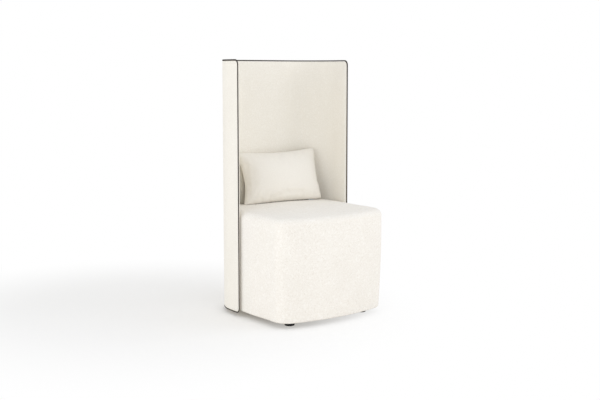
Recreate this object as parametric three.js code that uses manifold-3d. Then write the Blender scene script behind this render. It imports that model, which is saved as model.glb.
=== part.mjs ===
// Acoustic high back lounge chair: an upholstered block seat, wrapped on three sides by a tall
// bent screen with a piped edge, and one loose lumbar cushion.
// Millimetres, +Z up, the sitter faces -Y, origin on the floor in the middle of the footprint.

import * as THREE from 'three';
import { mergeVertices } from 'three/addons/utils/BufferGeometryUtils.js';
import Module from 'manifold-3d';

const wasm = await Module();
wasm.setup();

// Fits shared by all sub-parts
const layerGap = 0.3; // between two layers or pieces that rest on each other
const cutOverrun = 40; // how far a cutting tool runs past what it cuts

// Screen: the outer face and its outline
const screenTop = 1150;
const screenGroundGap = 17;
const screenHalfWidth = 310;
const wingLength = 78; // straight run of a wing, from its leading edge to the bend
const backCornerRadius = 170; // outer face of the bend
const freeCornerRadius = 22; // top and bottom corners of the wings

// Screen: what the panel is made of, from the outer face inwards
const screenClothThickness = 0.9;
const outerFoamThickness = 1.5;
const coreThickness = 3.5;
const innerFoamThickness = 3;
const pipingDiameter = 5;
const pipingProud = 0.6; // how far the piping stands out of the panel's outline and outer face
const pipingLedge = 4; // how far it stands out past the edge of the inner cover

// Seat block: the outline at the floor and what it leans out to
const seatFoot = 28; // underside of the upholstery
const footFront = 336; // from the wings' leading edges to the middle of the bowed front
const frontBow = 45;
const frontCornerRadius = 78;
const sideLean = 5;
const frontLean = 11;
const leanTop = 383; // height where the block reaches its full size
const seatToScreen = 8; // between the widest part of the seat and the screen's inner face
const rimHeight = 476; // top of the rounded edge
const topEdgeRadius = 28;
const crownRise = 12;
const hemEdgeRadius = 6;
const hemReturn = 35; // cloth turned in under the base board
const seatClothThickness = 0.9;

// Seat block: foam, boards and panels
const sideFoamThickness = 20; // at the floor, the lean adds to it higher up
const baseBoardThickness = 18;
const deckBoardThickness = 15;
const deckTop = 400;
const panelThickness = 15;
const wrapThickness = 4;
const ribThickness = 12;
const frontPanelShare = 0.65; // of the seat's width at its foot
const backPanelInset = 15; // from where the back starts to bend
const dustClothThickness = 0.8;
const dustClothInset = 15;

// Glides, with insets from the seat's foot to the middle of a glide
const glideSideInset = 85;
const glideFrontInset = 99;
const glideRearInset = 90;
const padRadius = 22;
const padRimHeight = 8;
const padHubRadius = 13;
const padSlopeHeight = 4;
const padEdge = 1.5;
const padFloor = 11; // solid plastic under the stud
const studRadius = 4;
const studTop = 58;
const studChamfer = 1;
const insertFlangeRadius = 11;
const insertFlangeThickness = 1.6;
const insertBarrelRadius = 5.6;
const insertBarrelLength = 14;

// Screws that hold the screen to the seat
const wingFixingHeights = { low: 112, high: 332 };
const backFixingInset = 55; // from the end of the back panel
const backFixingHeight = 300;
const boltRadius = 4;
const boltHeadRadius = 8.5;
const boltHeadHeight = 4.5;
const spacerRadius = 10;
const nutFlangeRadius = 11;
const nutFlangeThickness = 1.4;
const nutBarrelRadius = 5.6;

// Lumbar cushion
const cushionWidth = 422;
const cushionHeight = 257;
const cushionThickness = 112;
const cushionDrawIn = 14; // how far the middle of each side is pulled in
const leftDrawIn = 25; // the same for the end that is pushed into the corner of the screen
const leftSkew = 0.26; // how much more of it is low down than high up
const cushionCornerTuck = 5; // how far each corner is rounded off
const cornerPower = 8; // how close to the corner that rounding stays
const cushionClothThickness = 1.2;
const cushionSeamAllowance = 6;
const cushionCentreX = 29;
const cushionLean = 16.7; // degrees
const cushionYaw = -6.6;
const cushionRoll = -0.8;
const plumpShare = 0.38; // exponent of the cushion's section: lower is fuller at the seams
const zipLength = 300;
const zipGap = 3;
const zipDepth = 14;

// Facet counts
const bendSteps = 9;
const freeCornerSteps = 4;
const edgeSteps = 2;
const pipingSides = 8;
const bowSteps = 4;
const frontCornerSteps = 6;
const roundoverSteps = 4;
const turnedSides = 12;
const cushionColumns = 16;
const cushionRows = 10;
const crownShares = [0.72, 0.38]; // rings of the seat top, as shares of its outline
const leanShares = [0.33, 0.67, 1]; // rows up the sides, as shares of the leaning height

// Worked out from the sizes above
const pipingRadius = pipingDiameter / 2;
const pipingInset = pipingRadius - pipingProud;
const pipingNotch = pipingDiameter - pipingProud + layerGap;
const outerFoamDepth = screenClothThickness + layerGap;
const edgeInset = pipingLedge - pipingProud; // of the inner cover from the panel's outline
const coreDepth = outerFoamDepth + outerFoamThickness + layerGap;
const innerFoamDepth = coreDepth + coreThickness + layerGap;
const innerClothDepth = innerFoamDepth + innerFoamThickness + layerGap;
const screenThickness = innerClothDepth + screenClothThickness;
const innerEdgeRadius = screenThickness - innerFoamDepth;
const footHalfWidth = screenHalfWidth - screenThickness - seatToScreen - sideLean;
const screenReach = wingLength + backCornerRadius;
const seatReach = footFront + frontLean;
const wingY = (seatReach - screenReach - pipingProud) / 2; // leading edges of the wings
const bendX = screenHalfWidth - backCornerRadius;
const bendY = wingY + wingLength;
const bendLength = backCornerRadius * Math.PI / 2;
const halfRun = wingLength + bendLength + bendX; // along the outer face to the middle of the back
const innerFaceRadius = backCornerRadius - screenThickness;
const seatRearRadius = innerFaceRadius - seatToScreen;
const seatRearY = bendY + seatRearRadius;
const seatFrontY = wingY - seatReach;
const foamInset = seatClothThickness + layerGap;
const boardInset = foamInset + sideFoamThickness + layerGap;
const wrapInnerInset = boardInset + wrapThickness;
const frontPanelHalfWidth = footHalfWidth * frontPanelShare;
const backPanelHalfWidth = bendX - backPanelInset;
const backFixingX = backPanelHalfWidth - backFixingInset;
const glideX = footHalfWidth - glideSideInset;
const glideFrontY = wingY - footFront + glideFrontInset;
const glideRearY = seatRearY - glideRearInset;
const baseBoardFoot = seatFoot + seatClothThickness + layerGap;
const baseBoardTop = baseBoardFoot + baseBoardThickness;
const deckFoot = deckTop - deckBoardThickness;
const crownHalfWidth = footHalfWidth + sideLean - topEdgeRadius;
const crownHalfDepth = (seatRearY - seatFrontY) / 2 - topEdgeRadius;
const seatMiddleY = (seatRearY + seatFrontY) / 2;
const dustClothTop = seatFoot - layerGap;
const padHeight = dustClothTop - dustClothThickness - layerGap;

// Finishes
function finish(color, roughness, metalness = 0) {
  return new THREE.MeshStandardMaterial({ color, roughness, metalness });
}

const finishes = {
  cloth: finish('#f3f0e8', 0.95),
  cushionCloth: finish('#ece8df', 0.9),
  piping: finish('#423c37', 0.85),
  foam: finish('#e6dfb8', 0.95),
  plywood: finish('#cfae7e', 0.7),
  hardboard: finish('#8a6243', 0.75),
  dustCloth: finish('#1d1d1e', 0.95),
  nylon: finish('#161617', 0.5),
  steel: finish('#a9acb0', 0.35, 0.9),
  filling: finish('#f6f5f1', 0.98),
  zip: finish('#e9e5dc', 0.6),
};

const chair = new THREE.Group();

function addPiece(parent, name, geometry, material) {
  const mesh = new THREE.Mesh(geometry, material);
  mesh.name = name;
  parent.add(mesh);
  return mesh;
}

// Solid helpers

function geometryFrom(points, triangles) {
  const geometry = new THREE.BufferGeometry();
  const coordinates = points.flatMap((point) => [point.x, point.y, point.z]);
  geometry.setAttribute('position', new THREE.Float32BufferAttribute(coordinates, 3));
  geometry.setIndex(triangles.flat());
  geometry.computeVertexNormals();
  return geometry;
}

function toManifold(geometry, matrix) {
  let bare = geometry.clone();
  bare.deleteAttribute('normal');
  bare.deleteAttribute('uv');
  if (matrix) bare.applyMatrix4(matrix);
  bare = mergeVertices(bare);
  return new wasm.Manifold(new wasm.Mesh({
    numProp: 3,
    vertProperties: new Float32Array(bare.attributes.position.array),
    triVerts: new Uint32Array(bare.index.array),
  }));
}

function fromManifold(manifold) {
  const mesh = manifold.getMesh();
  const geometry = new THREE.BufferGeometry();
  geometry.setAttribute('position', new THREE.Float32BufferAttribute(mesh.vertProperties, 3));
  geometry.setIndex(Array.from(mesh.triVerts));
  geometry.computeVertexNormals();
  return geometry;
}

function cut(geometry, tools) {
  let body = toManifold(geometry);
  for (const tool of tools) body = body.subtract(tool);
  return fromManifold(body);
}

// A quad split along its shorter diagonal, so that skins that lie over each other fold alike.
function splitQuad(points, a, b, c, d) {
  const shorter = points[a].distanceTo(points[c]) < points[b].distanceTo(points[d]);
  return shorter ? [[a, b, c], [a, c, d]] : [[a, b, d], [b, c, d]];
}

// Joins rings of equally many points, each closed on itself, and closes both ends on a middle point.
function stackRings(rings, firstMiddle, lastMiddle) {
  const points = rings.flat();
  const count = rings[0].length;
  const triangles = [];
  for (let r = 0; r < rings.length - 1; r++) {
    for (let i = 0; i < count; i++) {
      const next = (i + 1) % count;
      const a = r * count + i;
      const b = r * count + next;
      triangles.push(...splitQuad(points, a, b, b + count, a + count));
    }
  }
  const first = points.push(firstMiddle) - 1;
  const last = points.push(lastMiddle) - 1;
  const lastRing = (rings.length - 1) * count;
  for (let i = 0; i < count; i++) {
    const next = (i + 1) % count;
    triangles.push([first, next, i], [last, lastRing + i, lastRing + next]);
  }
  return geometryFrom(points, triangles);
}

// Fills the space between two grids of points, outer[station][level] and inner[station][level].
function fillBetween(outer, inner) {
  const stations = outer.length;
  const levels = outer[0].length;
  const points = [...outer.flat(), ...inner.flat()];
  const out = (s, l) => s * levels + l;
  const inn = (s, l) => (stations + s) * levels + l;
  const triangles = [];
  const quad = (a, b, c, d) => triangles.push(...splitQuad(points, a, b, c, d));
  for (let s = 0; s < stations - 1; s++) {
    for (let l = 0; l < levels - 1; l++) {
      quad(out(s, l), out(s + 1, l), out(s + 1, l + 1), out(s, l + 1));
      quad(inn(s + 1, l), inn(s, l), inn(s, l + 1), inn(s + 1, l + 1));
    }
    quad(inn(s, 0), inn(s + 1, 0), out(s + 1, 0), out(s, 0));
    quad(out(s, levels - 1), out(s + 1, levels - 1), inn(s + 1, levels - 1), inn(s, levels - 1));
  }
  const end = stations - 1;
  for (let l = 0; l < levels - 1; l++) {
    quad(inn(0, l), out(0, l), out(0, l + 1), inn(0, l + 1));
    quad(out(end, l), inn(end, l), inn(end, l + 1), out(end, l + 1));
  }
  return geometryFrom(points, triangles);
}

function box(minX, maxX, minY, maxY, minZ, maxZ) {
  const geometry = new THREE.BoxGeometry(maxX - minX, maxY - minY, maxZ - minZ);
  geometry.translate((minX + maxX) / 2, (minY + maxY) / 2, (minZ + maxZ) / 2);
  return geometry;
}

// A turned piece from [radius, height] pairs, with its axis along Z.
function turned(profile) {
  const outline = profile.map(([radius, height]) => new THREE.Vector2(radius, height));
  return new THREE.LatheGeometry(outline, turnedSides).rotateX(Math.PI / 2);
}

// Screen
// The panel is drawn flat, with a run along the outer face, a height and a depth from that face,
// and is then bent round the two back corners.

function bend(run, depth, height) {
  const side = run > halfRun ? 1 : -1;
  const along = run > halfRun ? 2 * halfRun - run : run;
  if (along <= wingLength) {
    return new THREE.Vector3(side * (screenHalfWidth - depth), wingY + along, height);
  }
  const angle = (along - wingLength) / backCornerRadius;
  if (along < wingLength + bendLength) {
    const radius = backCornerRadius - depth;
    const x = bendX + radius * Math.cos(angle);
    return new THREE.Vector3(side * x, bendY + radius * Math.sin(angle), height);
  }
  return new THREE.Vector3(side * (halfRun - along), bendY + backCornerRadius - depth, height);
}

// One loop round the flat panel, inset from its outline: along the bottom, then back along the top.
function panelLoop(inset) {
  const radius = freeCornerRadius - inset;
  const corner = (middleRun, middleHeight, startTurn) => {
    const points = [];
    for (let i = 0; i <= freeCornerSteps; i++) {
      const angle = (startTurn + i / freeCornerSteps) * Math.PI / 2;
      const run = middleRun + radius * Math.cos(angle);
      points.push({ run, height: middleHeight + radius * Math.sin(angle) });
    }
    return points;
  };
  const farRun = 2 * halfRun;
  const lowMiddle = screenGroundGap + freeCornerRadius;
  const highMiddle = screenTop - freeCornerRadius;
  const stations = [];
  for (let i = 0; i <= bendSteps; i++) stations.push(wingLength + bendLength * i / bendSteps);
  const runs = [...stations, ...stations.map((run) => farRun - run).reverse()];
  const atHeight = (height) => runs.map((run) => ({ run, height }));
  return [
    ...corner(freeCornerRadius, lowMiddle, 2),
    ...atHeight(screenGroundGap + inset),
    ...corner(farRun - freeCornerRadius, lowMiddle, 3),
    ...corner(farRun - freeCornerRadius, highMiddle, 0),
    ...atHeight(screenTop - inset).reverse(),
    ...corner(freeCornerRadius, highMiddle, 1),
  ];
}

function bentLoop({ inset, depth }) {
  return panelLoop(inset).map(({ run, height }) => bend(run, depth, height));
}

// A closed bent layer. Its edge profile goes from one broad face to the other.
function bentPanel(profile) {
  const loops = profile.map(bentLoop);
  const count = loops[0].length;
  const points = loops.flat();
  const triangles = [];
  const quad = (a, b, c, d) => triangles.push(...splitQuad(points, a, b, c, d));
  for (let r = 0; r < loops.length - 1; r++) {
    for (let i = 0; i < count; i++) {
      const next = (i + 1) % count;
      quad(r * count + next, (r + 1) * count + next, (r + 1) * count + i, r * count + i);
    }
  }
  const lastLoop = (loops.length - 1) * count;
  for (let i = 0; i < count / 2 - 1; i++) {
    const above = count - 1 - i;
    quad(i + 1, i, above, above - 1);
    quad(lastLoop + i, lastLoop + i + 1, lastLoop + above - 1, lastLoop + above);
  }
  return geometryFrom(points, triangles);
}

// A quarter round of the inner edge, for a layer that lies at the depth under the inner cover.
function innerEdge(under) {
  const radius = innerEdgeRadius - under;
  const profile = [];
  for (let i = 0; i <= edgeSteps; i++) {
    const angle = i / edgeSteps * Math.PI / 2;
    profile.push({
      inset: edgeInset + innerEdgeRadius - radius * Math.cos(angle),
      depth: innerFoamDepth + radius * Math.sin(angle),
    });
  }
  return profile;
}

function flatLayer(inset, depth, thickness) {
  return bentPanel([{ inset, depth }, { inset, depth: depth + thickness }]);
}

function innerCover() {
  const inside = innerEdge(screenClothThickness).reverse();
  const rim = [
    { inset: edgeInset + screenClothThickness, depth: pipingNotch },
    { inset: edgeInset, depth: pipingNotch },
  ];
  return bentPanel([...inside, ...rim, ...innerEdge(0)]);
}

// The piping is one closed cord in the notch between the two covers. At each station its section
// stands square to the run, with the panel's own outward direction as its reference.
function piping() {
  const path = bentLoop({ inset: pipingInset, depth: pipingInset });
  const outside = bentLoop({ inset: pipingInset, depth: -pipingInset });
  const rings = path.map((point, i) => {
    const before = path[(i + path.length - 1) % path.length];
    const after = path[(i + 1) % path.length];
    const along = after.clone().sub(before).normalize();
    const outward = outside[i].clone().sub(point).normalize();
    const across = new THREE.Vector3().crossVectors(along, outward).normalize();
    const ring = [];
    for (let k = 0; k < pipingSides; k++) {
      const angle = (k + 0.5) / pipingSides * Math.PI * 2;
      const sideways = across.clone().multiplyScalar(Math.cos(angle) * pipingRadius);
      ring.push(outward.clone().multiplyScalar(Math.sin(angle) * pipingRadius).add(sideways).add(point));
    }
    return ring;
  });
  const triangles = [];
  for (let r = 0; r < rings.length; r++) {
    const nextRing = (r + 1) % rings.length * pipingSides;
    for (let k = 0; k < pipingSides; k++) {
      const next = (k + 1) % pipingSides;
      const a = r * pipingSides + k;
      const b = r * pipingSides + next;
      triangles.push([b, a, nextRing + next], [nextRing + next, a, nextRing + k]);
    }
  }
  return geometryFrom(rings.flat(), triangles);
}

// Seat block

function leanAt(height) {
  const share = THREE.MathUtils.clamp((height - seatFoot) / (leanTop - seatFoot), 0, 1);
  return Math.sin(share * Math.PI / 2);
}

// Right half of the block's outline, at an inset and a lean: the front from the middle round to the
// side, and the rear from the side round to the middle.
function seatHalf(inset, lean) {
  const halfWidth = footHalfWidth + sideLean * lean;
  const frontY = wingY - footFront - frontLean * lean;
  const bowRadius = (halfWidth ** 2 + frontBow ** 2) / (2 * frontBow);
  const bowY = frontY + bowRadius;
  const cornerX = halfWidth - frontCornerRadius;
  const cornerY = bowY - Math.sqrt((bowRadius - frontCornerRadius) ** 2 - cornerX ** 2);
  const meet = Math.atan2(cornerX, bowY - cornerY); // from straight ahead to where bow and corner meet
  const front = [];
  for (let i = 0; i < bowSteps; i++) {
    const angle = meet * i / bowSteps;
    const radius = bowRadius - inset;
    front.push([radius * Math.sin(angle), bowY - radius * Math.cos(angle)]);
  }
  for (let i = 0; i <= frontCornerSteps; i++) {
    const angle = meet + (Math.PI / 2 - meet) * i / frontCornerSteps;
    const radius = frontCornerRadius - inset;
    front.push([cornerX + radius * Math.sin(angle), cornerY - radius * Math.cos(angle)]);
  }
  const rear = [];
  for (let i = 0; i <= bendSteps; i++) {
    const angle = i / bendSteps * Math.PI / 2;
    const acrossRadius = halfWidth - inset - bendX;
    const x = bendX + acrossRadius * Math.cos(angle);
    rear.push([x, bendY + (seatRearRadius - inset) * Math.sin(angle)]);
  }
  return { front, rear, cornerY };
}

function mirrored(points) {
  return points.map(([x, y]) => [-x, y]).reverse();
}

function seatOutline(inset, lean) {
  const { front, rear } = seatHalf(inset, lean);
  const left = mirrored([...front, ...rear]);
  return [...front, ...rear, ...left.slice(0, -1)];
}

function ringAt(inset, height) {
  return seatOutline(inset, leanAt(height)).map(([x, y]) => new THREE.Vector3(x, y, height));
}

function crownHeight(x, y) {
  const across = Math.max(0, 1 - (x / crownHalfWidth) ** 2);
  const along = Math.max(0, 1 - ((y - seatMiddleY) / crownHalfDepth) ** 2);
  return rimHeight + crownRise * across * along;
}

// Rings over the rounded edge and the crown, for a skin that lies at the depth under the surface.
function crownRings(depth) {
  const rings = [];
  const radius = topEdgeRadius - depth;
  for (let i = 0; i <= roundoverSteps; i++) {
    const angle = i / roundoverSteps * Math.PI / 2;
    const inset = depth + radius * (1 - Math.cos(angle));
    const drop = depth + radius * (1 - Math.sin(angle));
    const outline = seatOutline(inset, 1);
    rings.push(outline.map(([x, y]) => new THREE.Vector3(x, y, crownHeight(x, y) - drop)));
  }
  const rim = rings[roundoverSteps];
  for (const share of crownShares) {
    rings.push(rim.map((point) => {
      const x = point.x * share;
      const y = seatMiddleY + (point.y - seatMiddleY) * share;
      return new THREE.Vector3(x, y, crownHeight(x, y) - depth);
    }));
  }
  return rings;
}

function crownMiddle(depth) {
  return new THREE.Vector3(0, seatMiddleY, crownHeight(0, seatMiddleY) - depth);
}

const leanRows = leanShares.map((share) => seatFoot + (leanTop - seatFoot) * share);

// The cover is one fitted cloth, open underneath, with its hem turned in under the base board.
function seatCover() {
  const wall = (depth) => {
    const rings = [];
    const radius = hemEdgeRadius - depth;
    for (let i = 0; i <= edgeSteps; i++) {
      const angle = i / edgeSteps * Math.PI / 2;
      const inset = hemEdgeRadius - radius * Math.sin(angle);
      rings.push(ringAt(inset, seatFoot + hemEdgeRadius - radius * Math.cos(angle)));
    }
    for (const height of leanRows) rings.push(ringAt(depth, height));
    return [...rings, ...crownRings(depth)];
  };
  const inside = wall(seatClothThickness).reverse();
  const hem = [ringAt(hemReturn, seatFoot + seatClothThickness), ringAt(hemReturn, seatFoot)];
  const outside = wall(0);
  return stackRings([...inside, ...hem, ...outside], crownMiddle(seatClothThickness), crownMiddle(0));
}

function topFoam() {
  const foot = deckTop + layerGap;
  const rings = [ringAt(foamInset, foot), ...crownRings(foamInset)];
  return stackRings(rings, new THREE.Vector3(0, seatMiddleY, foot), crownMiddle(foamInset));
}

// Foam sheets stand between the upright boards and the leaning cover.
const foamRows = [seatFoot + hemEdgeRadius, ...leanRows.slice(0, -1), leanTop, deckTop];

function foamSheet(planAt) {
  const outer = [];
  const inner = [];
  const stations = planAt(foamInset, 0).length;
  for (let s = 0; s < stations; s++) {
    outer.push(foamRows.map((height) => {
      const [x, y] = planAt(foamInset, leanAt(height))[s];
      return new THREE.Vector3(x, y, height);
    }));
    inner.push(foamRows.map((height) => {
      const [x, y] = planAt(boardInset - layerGap, 0)[s];
      return new THREE.Vector3(x, y, height);
    }));
  }
  return fillBetween(outer, inner);
}

const frontPlan = (inset, lean) => {
  const { front } = seatHalf(inset, lean);
  return [...mirrored(front).slice(0, -1), ...front];
};

const rearPlan = (inset, lean) => {
  const { rear } = seatHalf(inset, lean);
  return [...rear, ...mirrored(rear)];
};

// A straight side, seen from outside with the run going from front to rear.
const rightPlan = (inset, lean) => {
  const { rear, cornerY } = seatHalf(inset, lean);
  const x = rear[0][0];
  return [[x, cornerY + layerGap], [x, bendY - layerGap]];
};

const leftPlan = (inset, lean) => mirrored(rightPlan(inset, lean));

function wrapSheet(plan) {
  const heights = [baseBoardTop + layerGap, deckFoot - layerGap];
  const column = ([x, y]) => heights.map((height) => new THREE.Vector3(x, y, height));
  return fillBetween(plan(boardInset, 0).map(column), plan(wrapInnerInset, 0).map(column));
}

// Where a line of [x, y] points that runs outwards in x crosses the given x.
function crossing(points, x) {
  const i = points.findIndex((point) => point[0] >= x);
  const [x0, y0] = points[i - 1];
  const [x1, y1] = points[i];
  return y0 + (y1 - y0) * (x - x0) / (x1 - x0);
}

function boardShape() {
  return new THREE.Shape(seatOutline(boardInset, 0).map(([x, y]) => new THREE.Vector2(x, y)));
}

function flatBoard(shape, foot, thickness) {
  const geometry = new THREE.ExtrudeGeometry(shape, { depth: thickness, bevelEnabled: false });
  return geometry.translate(0, 0, foot);
}

function punch(shape, x, y, radius) {
  const hole = new THREE.Path();
  hole.absarc(x, y, radius, 0, Math.PI * 2, true);
  shape.holes.push(hole);
}

// Places of the four glides
const glides = [
  { name: 'front_left', x: -glideX, y: glideFrontY },
  { name: 'front_right', x: glideX, y: glideFrontY },
  { name: 'rear_left', x: -glideX, y: glideRearY },
  { name: 'rear_right', x: glideX, y: glideRearY },
];

// Screws through the seat's panels into the screen's core. Each has an axis that points out of the
// seat, the distance along it of the panel's two faces, and of the core's inner face.
const sidePanelFace = footHalfWidth - boardInset;
const backPanelFace = seatRearY - wrapInnerInset - layerGap;
const coreInnerDepth = coreDepth + coreThickness;
function wingFixing(side, panel, level) {
  return {
    name: `${panel}_${level}`,
    panel,
    turn: side * Math.PI / 2,
    place: (distance) => [side * distance, wingY + wingLength / 2, wingFixingHeights[level]],
    panelOut: sidePanelFace,
    spacerIn: sidePanelFace + layerGap,
    coreIn: screenHalfWidth - coreInnerDepth,
  };
}

function backFixing(side, end) {
  return {
    name: `back_${end}`,
    panel: 'back',
    turn: Math.PI,
    place: (distance) => [side * backFixingX, distance, backFixingHeight],
    panelOut: backPanelFace,
    spacerIn: seatRearY - boardInset + layerGap,
    coreIn: bendY + backCornerRadius - coreInnerDepth,
  };
}

const fixings = [
  ...Object.keys(wingFixingHeights).flatMap((level) => [
    wingFixing(-1, 'left', level), wingFixing(1, 'right', level),
  ]),
  backFixing(-1, 'left'),
  backFixing(1, 'right'),
];

// A frame whose +Z axis points out of the seat along the screw, at a distance along it.
function fixingFrame(fixing, distance) {
  const frame = new THREE.Group();
  frame.position.set(...fixing.place(distance));
  frame.rotation.order = 'ZYX';
  frame.rotation.set(Math.PI / 2, 0, fixing.turn);
  frame.updateMatrixWorld();
  return frame;
}

function drill(fixing, radius) {
  const length = 2 * (fixing.coreIn - fixing.panelOut + panelThickness + cutOverrun);
  const cylinder = new THREE.CylinderGeometry(radius, radius, length, turnedSides).rotateX(Math.PI / 2);
  return toManifold(cylinder, fixingFrame(fixing, fixing.coreIn).matrixWorld);
}

// Drills for all the screws, or for those through one of the seat's panels.
function drilled(geometry, radius, panel) {
  const through = fixings.filter((fixing) => !panel || fixing.panel === panel);
  return cut(geometry, through.map((fixing) => drill(fixing, radius)));
}

const boltHole = boltRadius + layerGap;
const spacerHole = spacerRadius + layerGap;
const nutHole = nutBarrelRadius + layerGap;
const nutPocket = nutFlangeRadius + layerGap;

function buildScreen() {
  const screen = new THREE.Group();
  const outerCloth = flatLayer(pipingNotch, 0, screenClothThickness);
  const outerFoam = flatLayer(pipingNotch, outerFoamDepth, outerFoamThickness);
  const core = flatLayer(pipingNotch, coreDepth, coreThickness);
  const innerFoam = bentPanel(innerEdge(screenClothThickness + layerGap));
  addPiece(screen, 'screen_outer_cover', outerCloth, finishes.cloth);
  addPiece(screen, 'screen_outer_foam', drilled(outerFoam, nutPocket), finishes.foam);
  addPiece(screen, 'screen_core', drilled(core, nutHole), finishes.plywood);
  addPiece(screen, 'screen_inner_foam', drilled(innerFoam, spacerHole), finishes.foam);
  addPiece(screen, 'screen_inner_cover', drilled(innerCover(), spacerHole), finishes.cloth);
  addPiece(screen, 'screen_piping', piping(), finishes.piping);
  return screen;
}

function buildSeatFrame() {
  const frame = new THREE.Group();
  const baseShape = boardShape();
  for (const glide of glides) punch(baseShape, glide.x, glide.y, insertBarrelRadius + layerGap);
  const base = flatBoard(baseShape, baseBoardFoot, baseBoardThickness);
  const deck = flatBoard(boardShape(), deckFoot, deckBoardThickness);
  addPiece(frame, 'seat_base_board', base, finishes.plywood);
  addPiece(frame, 'seat_deck_board', deck, finishes.plywood);

  const low = baseBoardTop + layerGap;
  const high = deckFoot - layerGap;
  const inFace = sidePanelFace - panelThickness;
  const [, sideFront] = rightPlan(boardInset, 0)[0];
  const [, sideRear] = rightPlan(boardInset, 0)[1];
  const rightPanel = box(inFace, sidePanelFace, sideFront, sideRear, low, high);
  const leftPanel = box(-sidePanelFace, -inFace, sideFront, sideRear, low, high);
  addPiece(frame, 'seat_right_panel', drilled(rightPanel, boltHole, 'right'), finishes.plywood);
  addPiece(frame, 'seat_left_panel', drilled(leftPanel, boltHole, 'left'), finishes.plywood);

  const frontFace = crossing(seatHalf(wrapInnerInset, 0).front, frontPanelHalfWidth) + layerGap;
  const frontIn = frontFace + panelThickness;
  const backIn = backPanelFace - panelThickness;
  const frontPanel = box(-frontPanelHalfWidth, frontPanelHalfWidth, frontFace, frontIn, low, high);
  const backPanel = box(-backPanelHalfWidth, backPanelHalfWidth, backIn, backPanelFace, low, high);
  addPiece(frame, 'seat_front_panel', frontPanel, finishes.plywood);
  addPiece(frame, 'seat_back_panel', drilled(backPanel, boltHole, 'back'), finishes.plywood);
  addPiece(frame, 'seat_front_wrap', wrapSheet(frontPlan), finishes.hardboard);
  addPiece(frame, 'seat_back_wrap', drilled(wrapSheet(rearPlan), boltHole, 'back'), finishes.hardboard);

  const slot = ribThickness / 2 + layerGap;
  const middle = (low + high) / 2;
  const upright = (points) => new THREE.Shape(points.map(([x, y]) => new THREE.Vector2(x, y)));
  const crossEnd = inFace - layerGap;
  const crossRib = new THREE.ExtrudeGeometry(upright([
    [-crossEnd, low], [crossEnd, low], [crossEnd, high], [slot, high],
    [slot, middle], [-slot, middle], [-slot, high], [-crossEnd, high],
  ]), { depth: ribThickness, bevelEnabled: false });
  crossRib.rotateX(Math.PI / 2).translate(0, ribThickness / 2, 0);
  const longFront = frontIn + layerGap;
  const longRear = backIn - layerGap;
  const notchTop = middle + layerGap;
  const longRib = new THREE.ExtrudeGeometry(upright([
    [longFront, low], [-slot, low], [-slot, notchTop], [slot, notchTop],
    [slot, low], [longRear, low], [longRear, high], [longFront, high],
  ]), { depth: ribThickness, bevelEnabled: false });
  longRib.rotateX(Math.PI / 2).rotateZ(Math.PI / 2).translate(-ribThickness / 2, 0, 0);
  addPiece(frame, 'seat_cross_rib', crossRib, finishes.plywood);
  addPiece(frame, 'seat_long_rib', longRib, finishes.plywood);
  return frame;
}

function buildUpholstery() {
  const upholstery = new THREE.Group();
  const rightFoam = drilled(foamSheet(rightPlan), spacerHole, 'right');
  const leftFoam = drilled(foamSheet(leftPlan), spacerHole, 'left');
  const backFoam = drilled(foamSheet(rearPlan), spacerHole, 'back');
  addPiece(upholstery, 'seat_top_foam', topFoam(), finishes.foam);
  addPiece(upholstery, 'seat_front_foam', foamSheet(frontPlan), finishes.foam);
  addPiece(upholstery, 'seat_back_foam', backFoam, finishes.foam);
  addPiece(upholstery, 'seat_right_foam', rightFoam, finishes.foam);
  addPiece(upholstery, 'seat_left_foam', leftFoam, finishes.foam);
  addPiece(upholstery, 'seat_cover', drilled(seatCover(), spacerHole), finishes.cloth);
  const dustOutline = seatOutline(dustClothInset, 0).map(([x, y]) => new THREE.Vector2(x, y));
  const dustShape = new THREE.Shape(dustOutline);
  for (const glide of glides) punch(dustShape, glide.x, glide.y, studRadius + layerGap);
  const dustCloth = flatBoard(dustShape, dustClothTop - dustClothThickness, dustClothThickness);
  addPiece(upholstery, 'seat_dust_cloth', dustCloth, finishes.dustCloth);
  return upholstery;
}

function glidePad() {
  const bore = studRadius + layerGap;
  return turned([
    [0, 0],
    [padRadius - padEdge, 0],
    [padRadius, padEdge],
    [padRadius, padRimHeight],
    [padHubRadius, padRimHeight + padSlopeHeight],
    [padHubRadius, padHeight],
    [bore, padHeight],
    [bore, padFloor],
    [0, padFloor],
  ]);
}

function glideStud() {
  return turned([
    [0, padFloor + layerGap],
    [studRadius, padFloor + layerGap],
    [studRadius, studTop - studChamfer],
    [studRadius - studChamfer, studTop],
    [0, studTop],
  ]);
}

// A threaded insert: a flange on the board's face and a barrel down its hole.
function insert(boreRadius, barrelRadius, barrelLength, flangeRadius, flangeThickness) {
  return turned([
    [boreRadius, -barrelLength],
    [barrelRadius, -barrelLength],
    [barrelRadius, 0],
    [flangeRadius, 0],
    [flangeRadius, flangeThickness],
    [boreRadius, flangeThickness],
    [boreRadius, -barrelLength],
  ]);
}

function buildGlides() {
  const group = new THREE.Group();
  const bore = studRadius + layerGap;
  for (const { name, x, y } of glides) {
    const nut = insert(bore, insertBarrelRadius, insertBarrelLength, insertFlangeRadius, insertFlangeThickness);
    addPiece(group, `glide_pad_${name}`, glidePad(), finishes.nylon).position.set(x, y, 0);
    addPiece(group, `glide_stud_${name}`, glideStud(), finishes.steel).position.set(x, y, 0);
    const seat = baseBoardTop + layerGap;
    addPiece(group, `glide_insert_${name}`, nut, finishes.steel).position.set(x, y, seat);
  }
  return group;
}

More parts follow.
